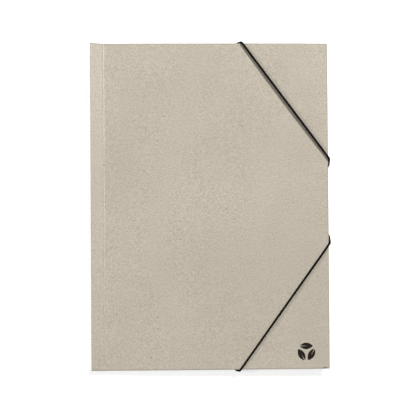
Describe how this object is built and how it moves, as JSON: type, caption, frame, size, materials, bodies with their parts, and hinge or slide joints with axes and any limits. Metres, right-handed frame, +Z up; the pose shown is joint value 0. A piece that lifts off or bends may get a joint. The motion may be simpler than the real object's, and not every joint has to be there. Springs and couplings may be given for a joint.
{
  "type": "document folder",
  "caption": "Closed A4 card document folder lying flat, with a scored hinge strip beside its spine, flaps inside and round elastics stretched over its fore-edge corners.",
  "frame": {"origin": "on the surface that the folder lies on, under the middle of its outline", "axes": "+X from the spine to the fore-edge, +Y from the bottom edge to the top edge of the front cover, +Z up, out of the front cover"},
  "size_m": [0.2354, 0.3246, 0.0111],
  "materials": {
    "recycled_card": "uncoated greyish-beige recycled card with fine fibres and specks",
    "covered_elastic": "round rubber cord in a tight black braided cover, matt",
    "tinned_steel": "bright tinned strip",
    "black_ink": "flat brown-black printing ink soaked into the card"
  },
  "bodies": {
    "root": {"card_sheet": "recycled_card", "elastic_top": "covered_elastic", "elastic_bottom": "covered_elastic", "elastic_end_tag_1": "tinned_steel", "elastic_end_tag_2": "tinned_steel", "elastic_end_tag_3": "tinned_steel", "elastic_end_tag_4": "tinned_steel", "printed_leaf_1": "black_ink", "printed_leaf_2": "black_ink", "printed_leaf_3": "black_ink"}
  },
  "joints": []
}
